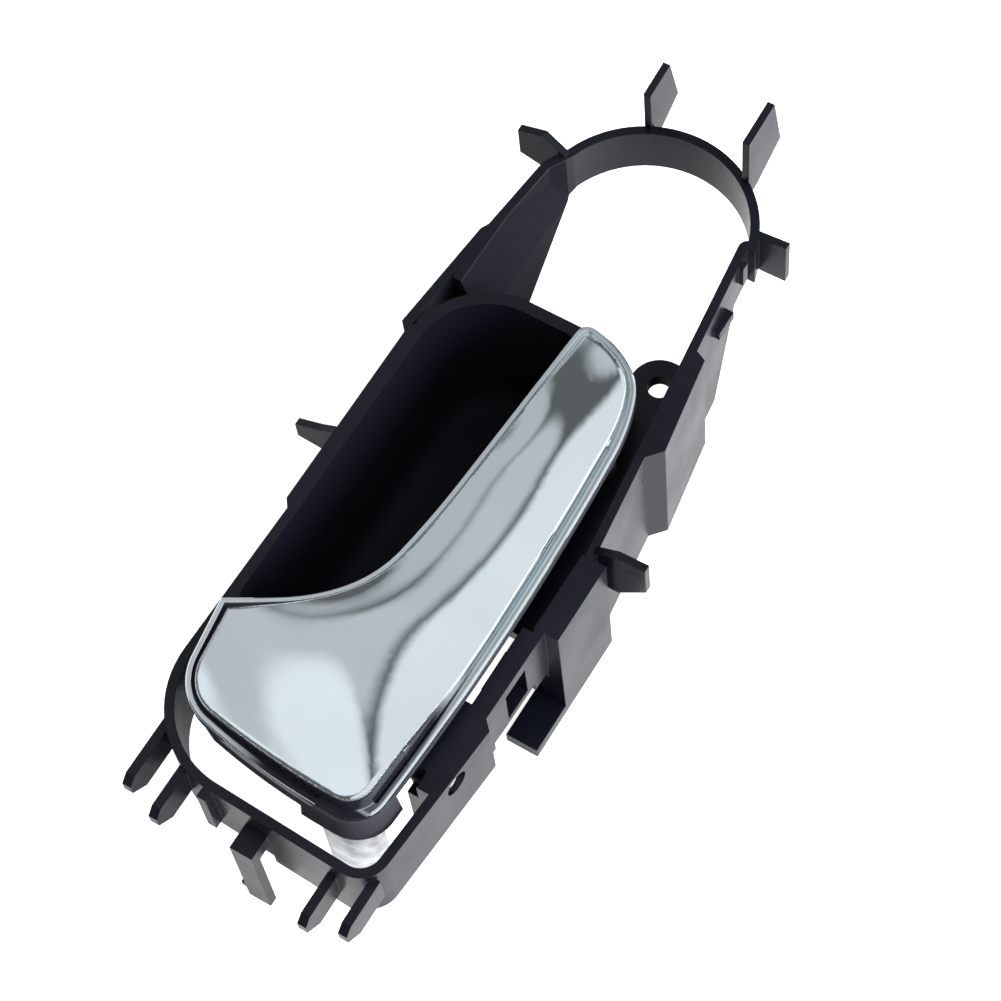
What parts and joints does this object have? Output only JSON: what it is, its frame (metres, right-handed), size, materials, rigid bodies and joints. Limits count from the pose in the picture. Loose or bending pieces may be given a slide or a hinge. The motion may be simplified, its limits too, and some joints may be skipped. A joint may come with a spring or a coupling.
{
  "type": "car interior door handle",
  "caption": "Car interior door handle: black moulded housing with a finger cup, locating fins and an open loop, and a bright swept pull lever that turns on a pin against a spring.",
  "frame": {"origin": "centre of the screw hole on the front face of the screw ear", "axes": "+X along the handle from the lever's tip to the open loop, +Y to the finger cup, +Z out of the door"},
  "size_m": [0.2129, 0.0896, 0.0562],
  "materials": {
    "housing": "satin black moulding",
    "lever": "bright plating",
    "pin": "drawn steel",
    "spring": "spring wire",
    "buffer": "matt rubber"
  },
  "bodies": {
    "housing": {"housing": "housing", "hinge_pin": "pin", "return_spring": "spring", "stop_buffer": "buffer"},
    "lever": {"lever": "lever"}
  },
  "joints": [
    {"name": "lever_hinge", "type": "hinge", "parent": "housing", "child": "lever", "pos_m": [-0.1036, 0.02, 0.002], "axis": [0, -1, 0], "range_deg": [0, 40], "stiffness_Nm_per_rad": 0.2, "springref_deg": -17.19, "deforming": ["return_spring"]}
  ]
}
